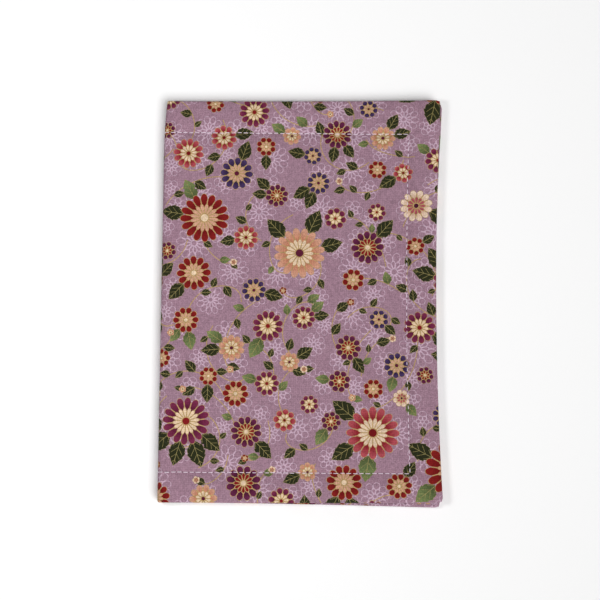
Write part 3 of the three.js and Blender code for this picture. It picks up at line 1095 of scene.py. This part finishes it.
# The printed cover of one page: its face, the folds round three edges, and the hem inside with its
# inner edge turned under
def coverHalf(side):
    columns, rows = len(outerPath["u"]), len(rowY)
    face, hem = facePoints(side), hemPoints(side)
    faceId = np.arange(columns * rows).reshape(columns, rows)
    hemId = faceId + columns * rows
    points, quads, flats = [face.reshape(-1, 3), hem.reshape(-1, 3)], [], []
    flatX = np.broadcast_to(outerPath["s"], (columns, rows))
    flatFace = np.stack([flatX, face[..., 1]], -1)

    def patch(ids, flat, keep, order):
        quads.append(np.stack(cellCorners(ids, order), -1)[keep])
        flats.append(np.stack(cellCorners(flat, order), -2)[keep])

    def strip(ids, flat):  # rows of points, each joined to the next
        for a, b, fa, fb in zip(ids, ids[1:], flat, flat[1:]):
            quads.append(np.stack([a[1:], a[:-1], b[:-1], b[1:]], -1))
            flats.append(np.stack([fa[1:], fa[:-1], fb[:-1], fb[1:]], -2))

    def addRow(where):
        start = sum(len(p) for p in points)
        points.append(where)
        return np.arange(start, start + len(where))

    def border(low, last, high):  # along the tail, up, and back along the head
        path = [(i, low) for i in range(last)] + [(last, j) for j in range(low, high)]
        return np.array(path + [(i, high) for i in range(last, -1, -1)]).T

    # the ways off an edge: level in space, and on along the flat cloth
    def edgeWays(i, j, last, high, where, sign):
        way = np.gradient(where[:, :2], axis=0)
        away = sign * unit(np.stack([way[:, 1], -way[:, 0], np.zeros(len(way))], -1))
        end = np.where(j == high, 1, -1)
        onSpine = i < spineSteps
        away[onSpine] = np.stack([0 * end, sign * end, 0 * end], -1)[onSpine]
        along = np.where((i == last)[:, None], (1.0, 0.0), np.stack([0 * end, end], -1))
        return away, along

    # the rows of a half turn from start to end, with their places on the flat cloth
    def halfTurn(start, end, away, reach, flatStart, along, steps, made):
        middle, half = (start + end) / 2, (start - end) / 2
        angles = math.pi * np.arange(1, made + 1) / steps
        bulge = away * reach
        ids = [addRow(middle + half * math.cos(a) + bulge * math.sin(a)) for a in angles]
        return ids, [flatStart + along * reach * a for a in angles]

    # face, then hem: its strips along the head and tail lie over the one along the fore-edge
    cellI, cellJ = np.indices((columns - 1, rows - 1))
    patch(faceId, flatFace, cellI >= 0, cellOrder)
    wrap = math.pi * shape["edgeRound"]
    last = int(np.searchsorted(hemPath["u"][:, 0], windowU - tiny))
    low, high = (int(np.searchsorted(rowY, sign * windowY - tiny)) for sign in (-1, 1))
    endStrip = (cellJ < low) | (cellJ >= high)
    rimY = np.where(rowY[None, :] > 0, face[:, -1:, 1], face[:, :1, 1])
    turned = np.sign(rimY) * (wrap + np.abs(rimY - hem[..., 1]))
    flatEnds = np.stack([flatX, rimY + turned], -1)
    turned = flatX[-1:, :] + wrap + (face[-1:, :, 0] - hem[..., 0])
    flatFore = np.stack([turned, hem[..., 1]], -1)
    patch(hemId, flatEnds, endStrip, cellOrder[::-1])
    patch(hemId, flatFore, ~endStrip & (cellI >= last), cellOrder[::-1])

    # folded edges
    edge = border(0, columns - 1, rows - 1)
    at = tuple(edge)
    away, along = edgeWays(*edge, columns - 1, rows - 1, face[at], 1)
    steps = grid["edgeSteps"]
    flatStart = flatFace[at]
    reach, count = shape["edgeRound"], steps - 1
    ids, flat = halfTurn(face[at], hem[at], away, reach, flatStart, along, steps, count)
    strip([faceId[at], *ids, hemId[at]], [flatStart, *flat, flatStart + along * wrap])

    # the hem's inner edge, turned under
    edge = border(low, last, high)
    at = tuple(edge)
    start = hem[at]
    nu, nw = hemPath["nu"][edge[0], 0], hemPath["nw"][edge[0], 0]
    under = start - np.stack([nu, 0 * nu, nw * inwards[side]], -1) * cloth["hemReturn"]
    away, along = edgeWays(*edge, last, high, start, -1)
    flatStart = np.where((edge[0] == last)[:, None], flatFore[at], flatEnds[at])
    steps, reach = grid["turnSteps"], cloth["hemReturn"] / 2
    ids, flat = halfTurn(start, under, away, reach, flatStart, along, steps, steps)
    flatTurn = flat[-1]
    for k in range(grid["turnRows"]):
        reach = cloth["hemTurn"] * (k + 1) / grid["turnRows"]
        ids.append(addRow(under - away * reach))
        flat.append(flatTurn + along * reach)
    strip([hemId[at], *ids], [flatStart, *flat])

    points, quads, flat = (np.concatenate(v) for v in (points, quads, flats))
    if side == "back":
        quads, flat = quads[:, ::-1], flat[:, ::-1] * (-1, 1)
    materials = (coverMaterial, wrongSide)
    obj = sheetObject(f"{side}_cover_cloth", points, quads, cloth["thickness"], *materials)
    setUv(obj, flat)
    setCorners(obj, "bloom", stampRound(flat, motifs["flowers"], layout["petals"]))
    setCorners(obj, "ghost", stampRound(flat, motifs["outlines"], layout["ghostPetals"]))
    setCorners(obj, "leaf", stampLeaves(flat))
    setCorners(obj, "stem", stampStems(flat))
    seam = blank(flat, stitch["pitch"])[0]
    onFace = points[quads[: cellI.size]]
    seam[: cellI.size] = stampSeam(onFace[..., 0] - spineX, onFace[..., 1], side)
    setCorners(obj, "seam", seam)
    # the flat cloth's faces, without the faces that join two hems across a cut corner
    laid = flat[np.ptp(flat, axis=1).max(1) < grid["cornerGap"]]
    return obj


def foldBetween(obj, side):
    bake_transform(obj)


for side in pages:
    obj = coverHalf(side)
    foldBetween(obj, side)
    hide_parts(f"{side}_cover", "spine_cover")
    print(side, "cover made,", len(obj.data.polygons), "faces")


# A cloth that is one grid of points, with its place on the flat cloth
def gridSheet(name, side, points, flat, thickness, material):
    order = cellOrder if side == "back" else [(b, a) for a, b in cellOrder]
    ids = np.arange(points.size // 3).reshape(points.shape[:2])
    quads = np.stack(cellCorners(ids, order), -1).reshape(-1, 4)
    flat = np.stack(cellCorners(flat, order), -2).reshape(-1, 4, 2)
    obj = sheetObject(name, points.reshape(-1, 3), quads, thickness, material)
    setUv(obj, flat)
    return obj, np.ptp(flat.reshape(-1, 2), axis=0) / perMetre


linings = {
    # depth, thickness, and how far the edge stays inside the cover's
    "lining": (1.5, 0.3, 1.6),
    "interlining": (0.85, 0.6, 2.2),
    "fold": (0.6, 1.66),  # height over the open book's spine and at the spine's edges
}


def layerHalf(part, side, material, first, every):
    depth, thickness, inset = linings[part]
    path = innerPath(linings["fold"], depth)
    u, y, share = path["u"], rowY[None, :], path["w"] / fullDepth
    columns = [i for i in range(first, len(u)) if u[i, 0] < edgeU - inset][::every]
    kept = np.ix_(columns, np.flatnonzero(np.abs(rowY) < edgeY - inset)[::2])
    sink = outerRelief(u, y, side) * (1 - share)
    sink = sink - innerRelief(u, y, side) * share * smooth(u, *relief["spineFade"])
    points = layerPoints(path, sink, side)[kept]
    flat = np.stack(np.broadcast_arrays(path["s"], y), -1)[kept]
    name = f"{side}_{part}_cloth"
    obj, span = gridSheet(name, side, points, flat, thickness, material)
    return obj


for side in pages:
    obj = layerHalf("lining", side, liningMaterial, 0, 1)
    foldBetween(obj, side)
    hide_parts(f"{side}_lining", "spine_lining")
    obj = layerHalf("interlining", side, interliningMaterial, spineSteps, 2)
    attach(obj, f"{side}_page")
    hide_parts(f"{side}_interlining")
print("linings made")

# The channelled bands
band = {
    "channels": 11,
    "land": 2.0,
    "rise": 0.82,
    "uneven": (0.9, 1.06),
    "fullness": 0.75,  # below 1, the arches are fuller than half a sine wave
    "steepest": 1.2,
    "sag": 0.05,
    "base": 2.18,  # depth of the top layer's middle on a land
    "thickness": 0.3,
    "turnUnder": 5.0,
    "layerStep": 0.36,
    "steps": 12,  # along each channel's arch
    "rows": 24,  # across the band
    "edgeRows": 5,
    "underRows": 3,
    "settle": 0.3,  # share of the page's relief that it follows
    "settleRange": (-0.05, 0.2),
    "seed": 5,
}
bandPitch = (2 * bandHigh[1] - band["land"]) / band["channels"]


def bandSettle(u, y, side):
    return np.clip(outerRelief(u, y, side) * band["settle"], *band["settleRange"])


def bandHalf(side):
    rng = np.random.default_rng(band["seed"] + (side == "front"))
    half, channels, land = bandHigh[1], band["channels"], band["land"]
    heights = band["rise"] * rng.uniform(*band["uneven"], channels)
    t = np.arange(band["steps"] + 1) / band["steps"]
    starts = -half + land + np.arange(channels) * bandPitch
    arches = heights[:, None] * np.sin(math.pi * t) ** band["fullness"]
    ys = np.concatenate([[-half], (starts[:, None] + (bandPitch - land) * t).ravel(), [half]])
    rises = np.concatenate([[0.0], arches.ravel(), [0.0]])
    slope = np.clip(-np.gradient(rises, ys), -band["steepest"], band["steepest"])
    normal = unit(np.stack([slope, np.ones_like(ys)], -1))
    # rows across the band, as place and depth under its face: each edge is turned under
    step, radius = band["layerStep"], band["layerStep"] / 2
    turn = np.linspace(0, math.pi, band["edgeRows"])
    edge = [(radius * math.sin(a), radius - radius * math.cos(a)) for a in turn]
    underRows = band["underRows"]
    edge += [(-band["turnUnder"] * k / underRows, step) for k in range(1, underRows + 1)]
    first, last = bandStart + radius, bandEnd - radius
    rows = [(first - out, depth) for out, depth in reversed(edge)]
    rows += [(u, 0.0) for u in np.linspace(first, last, band["rows"])[1:-1]]
    rows = np.array(rows + [(last + out, depth) for out, depth in edge])
    sag = 1 - band["sag"] * np.cos(np.linspace(-1, 1, len(rows)) * math.pi)[:, None]
    u, under = rows[:, :1], rows[:, 1:]
    y = ys[None, :] - normal[None, :, 0] * under
    w = band["base"] + rises[None, :] * sag - normal[None, :, 1] * under
    points = toWorld(u, y, w + bandSettle(u, ys[None, :], side), side)
    along, across = lengthAlong(rows), lengthAlong(np.stack([ys, rises], -1))
    flat = np.stack(np.broadcast_arrays(along[:, None], across[None, :]), -1)
    name = f"{side}_channel_band_cloth"
    obj, span = gridSheet(name, side, points, flat, band["thickness"], bandMaterial)
    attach(obj, f"{side}_page")
    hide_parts(f"{side}_channel_band")


for side in pages:
    bandHalf(side)
print("bands made")


# Stitching: one bent dash of thread for each stitch
def stitchTree():
    tree = bpy.data.node_groups.new("stitchRow", "GeometryNodeTree")
    node = partial(add, tree)
    lengths = [(name, "NodeSocketFloat") for name in ("Length", "Thread", "Arch", "Dip")]
    shapeSocket = ("Geometry", "NodeSocketGeometry")
    for name, kind in (shapeSocket, *lengths, ("Material", "NodeSocketMaterial")):
        tree.interface.new_socket(name, in_out="INPUT", socket_type=kind)
    tree.interface.new_socket(shapeSocket[0], in_out="OUTPUT", socket_type=shapeSocket[1])
    given = node("NodeGroupInput")
    half = node("MULTIPLY", (given["Length"], 0.5))[0]
    back = node("MULTIPLY", (half, -1.0))[0]
    low = node("MULTIPLY", (given["Dip"], -1.0))[0]
    high = node("MULTIPLY_ADD", (given["Arch"], 2.0, given["Dip"]))[0]
    bend = {"Resolution": stitch["sides"]}
    for name, x, z in (("Start", back, low), ("Middle", 0.0, high), ("End", half, low)):
        bend[name] = node("CombineXYZ", (x, 0.0, z))[0]
    line = node("GeometryNodeCurveQuadraticBezier", bend)[0]
    radius = node("MULTIPLY", (given["Thread"], 0.5))[0]
    section = {"Resolution": stitch["sides"], "Radius": radius}
    ring = node("GeometryNodeCurvePrimitiveCircle", section)[0]
    tube = {"Curve": line, "Profile Curve": ring, "Fill Caps": True}
    dash = node("GeometryNodeCurveToMesh", tube)[0]
    dash = node("GeometryNodeSetShadeSmooth", {"Geometry": dash})[0]
    kinds = {"along": "FLOAT_VECTOR", "up": "FLOAT_VECTOR", "fit": "FLOAT"}
    along, up, fit = (
        node("GeometryNodeInputNamedAttribute", {"Name": name}, data_type=kind)[0]
        for name, kind in kinds.items()
    )
    turn = node("FunctionNodeAxesToRotation", (up, along), primary_axis="Z", secondary_axis="X")[0]
    least, most = stitch["uneven"]
    uneven = {"Min": least, "Max": most, "Seed": stitch["unevenSeed"]}
    size = node("FunctionNodeRandomValue", uneven, data_type="FLOAT_VECTOR")[0]
    fit = node("CombineXYZ", (fit, 1.0, 1.0))[0]
    size = node("VectorMath", (size, fit), operation="MULTIPLY")[0]
    places = {"Points": given["Geometry"], "Instance": dash, "Rotation": turn, "Scale": size}
    row = node("GeometryNodeInstanceOnPoints", places)[0]
    row = node("GeometryNodeRealizeInstances", {"Geometry": row})[0]
    dye = {"Geometry": row, "Material": given["Material"]}
    node("NodeGroupOutput", (node("GeometryNodeSetMaterial", dye)[0],))
    return tree


rowTree = stitchTree()


def valuesAt(at, far, values):
    return np.stack([np.interp(at, far, values[:, k]) for k in range(3)], -1)


def stitchObject(name, rows, pitch, material, slot):
    rng = np.random.default_rng(stitch["seed"])
    look = stitch["look"]
    found = []
    for line, normal, far in rows:
        count = max(1, round(far[-1] / pitch))
        at = (np.arange(count) + 0.5) * far[-1] / count
        way = valuesAt(at + look, far, line) - valuesAt(at - look, far, line)
        up = valuesAt(at, far, np.broadcast_to(normal, line.shape))
        aside = unit(np.cross(up, way)) * rng.normal(0, stitch["wander"], (count, 1))
        fit = np.clip(np.linalg.norm(way, axis=1) / (2 * look), stitch["shortest"], 1.0)
        found.append((valuesAt(at, far, line) + aside, way, up, fit))
    centres, ways, ups, fits = (np.concatenate(values) for values in zip(*found))
    mesh = bpy.data.meshes.new(name + "_points")
    mesh.from_pydata((centres / perMetre).tolist(), [], [])
    for key, values in (("along", ways), ("up", ups)):
        layer = mesh.attributes.new(key, "FLOAT_VECTOR", "POINT")
        layer.data.foreach_set("vector", values.astype(np.float32).ravel())
    layer = mesh.attributes.new("fit", "FLOAT", "POINT")
    layer.data.foreach_set("value", fits.astype(np.float32))
    source = newObject(name + "_points", mesh)
    modifier = source.modifiers.new("stitches", "NODES")
    modifier.node_group = rowTree
    lengths = {"Length": pitch * stitch["share"], "Thread": stitch["thread"]}
    lengths |= {"Arch": stitch["arch"], "Dip": stitch["dip"]}
    given = {key: value / perMetre for key, value in lengths.items()} | {"Material": material}
    for item in rowTree.interface.items_tree:
        if item.in_out == "INPUT" and item.name in given:
            modifier[item.identifier] = given[item.name]
    ready = source.evaluated_get(bpy.context.evaluated_depsgraph_get())
    made = bpy.data.meshes.new_from_object(ready)
    made.name = name
    obj = newObject(name, made)
    bpy.data.objects.remove(source)
    return obj


# The rows that tie a band down, one on each land
def landRows(side):
    first, last = bandStart + stitch["bandInset"], bandEnd - stitch["bandInset"]
    u = np.linspace(first, last, stitch["bandRow"])
    up = np.array((0.0, 0.0, inwards[side]))
    for k in range(band["channels"] + 1):
        y = np.full(len(u), -bandHigh[1] + band["land"] / 2 + k * bandPitch)
        depth = band["base"] + band["thickness"] / 2 + bandSettle(u, y, side)
        yield toWorld(u, y, depth, side), up, u - first


# The short rows over the spine, outside and inside
def spineRows(at):
    z = np.linspace(-stitch["spineHalf"], stitch["spineHalf"], stitch["spineRow"]) + thick / 2
    inside = cloth["hemFold"][0] + cloth["thickness"] / 2
    for depth, out in ((0.0, -1.0), (inside, 1.0)):
        u, y = plan(np.full(len(z), depth), np.full(len(z), at), "front", thick / 2, False)
        line = np.stack([spineX + u + out * stitch["proud"], y, z], -1)
        yield line, np.array((out, 0, 0)), z - z[0]


hemKind = (stitch["pitch"], hemThread, "hem_thread")
bandKind = (stitch["bandPitch"], bandThread, "band_thread")
for side in pages:
    for part, at in hemRows.items():
        rows = [acrossPage(at, side, face) for face in faces]
        obj = stitchObject(f"{side}_{part}_stitches", rows, *hemKind)
        foldBetween(obj, side)
        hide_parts(f"{side}_{part}_stitching")
    rows = [alongForeEdge(side, face) for face in faces]
    obj = stitchObject(f"{side}_fore_edge_stitches", rows, *hemKind)
    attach(obj, f"{side}_page")
    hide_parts(f"{side}_fore_edge_stitching")
    obj = stitchObject(f"{side}_channel_stitches", landRows(side), *bandKind)
    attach(obj, f"{side}_page")
    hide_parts(*[f"{side}_channel_stitching_{k:02d}" for k in range(1, band["channels"] + 2)])
for part, at in hemRows.items():
    obj = stitchObject(f"spine_{part}_stitches", spineRows(at), *hemKind)
    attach(obj, "spine")
    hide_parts(f"spine_{part}_stitching")
print("stitching made")

# Floor, light and camera
studio = {
    "floor": "#fefefe",
    "floorReach": 2.0,  # metres
    "floorMatt": 0.9,
    # the key light is far off: where it comes from, how wide it is in degrees, and its strength
    "key": ((0.5, -0.54, 1), 39, 2.3),
    # the side light stands near: its place and size in metres, and its power
    "side": ((-0.18, -0.02, 0.33), 0.08, 0.37),
    "sky": 0.215,
    "distance": 0.55,
    "tilt": 7.0,
    "lens": 82.2,
    "roll": 0.4,
    "aim": (-0.0005, -0.0005, 0.0066),
    "clip": (0.01, 20),
}


def setFloor():
    reach = studio["floorReach"]
    mesh = bpy.data.meshes.new("floor")
    corners = [(x * reach, y * reach, 0) for x, y in ((-1, -1), (1, -1), (1, 1), (-1, 1))]
    mesh.from_pydata(corners, [], [(0, 1, 2, 3)])
    # White paper, matt
    material, node = newMaterial("white paper floor")
    finish = {"Base Color": colour(studio["floor"]), "Roughness": studio["floorMatt"]}
    shader = node("BsdfPrincipled", finish)[0]
    node("OutputMaterial", (shader,))
    mesh.materials.append(material)
    newObject("floor", mesh)


def setLights():
    for name, kind in (("key", "SUN"), ("side", "AREA")):
        where, size, strength = studio[name]
        lamp = bpy.data.lights.new(name, kind)
        lamp.energy = strength
        if kind == "SUN":
            lamp.angle = math.radians(size)
        else:
            lamp.size = size
        obj = newObject(name, lamp)
        obj.location = where
        obj.rotation_euler = (-Vector(where)).to_track_quat("-Z", "Y").to_euler()
        obj.visible_camera = False
    world = bpy.data.worlds.new("studio")
    bpy.context.scene.world = world
    world.use_nodes = True
    world.node_tree.nodes.clear()
    node = partial(add, world.node_tree)
    path, level = node("LightPath"), studio["sky"]
    seen = path["Is Camera Ray"]
    for ray in ("Is Glossy Ray", "Is Transmission Ray"):
        seen = node("MAXIMUM", (seen, path[ray]))[0]
    strength = node("MULTIPLY_ADD", (seen, 1 - level, level))[0]
    sky = node("Background", {"Color": (1.0, 1.0, 1.0, 1.0), "Strength": strength})[0]
    node("OutputWorld", (sky,))


def setCamera():
    data = bpy.data.cameras.new("camera")
    data.lens = studio["lens"]
    data.clip_start, data.clip_end = studio["clip"]
    camera = newObject("camera", data)
    tilt, roll = math.radians(studio["tilt"]), math.radians(studio["roll"])
    away = Vector((0, -math.sin(tilt), math.cos(tilt))) * studio["distance"]
    camera.location = Vector(studio["aim"]) + away
    turn = Matrix.Rotation(tilt, 4, "X") @ Matrix.Rotation(roll, 4, "Z")
    camera.rotation_euler = turn.to_euler()
    bpy.context.scene.camera = camera


setFloor()
setLights()
setCamera()
bpy.context.scene.view_settings.view_transform = "Standard"
print("stage set")
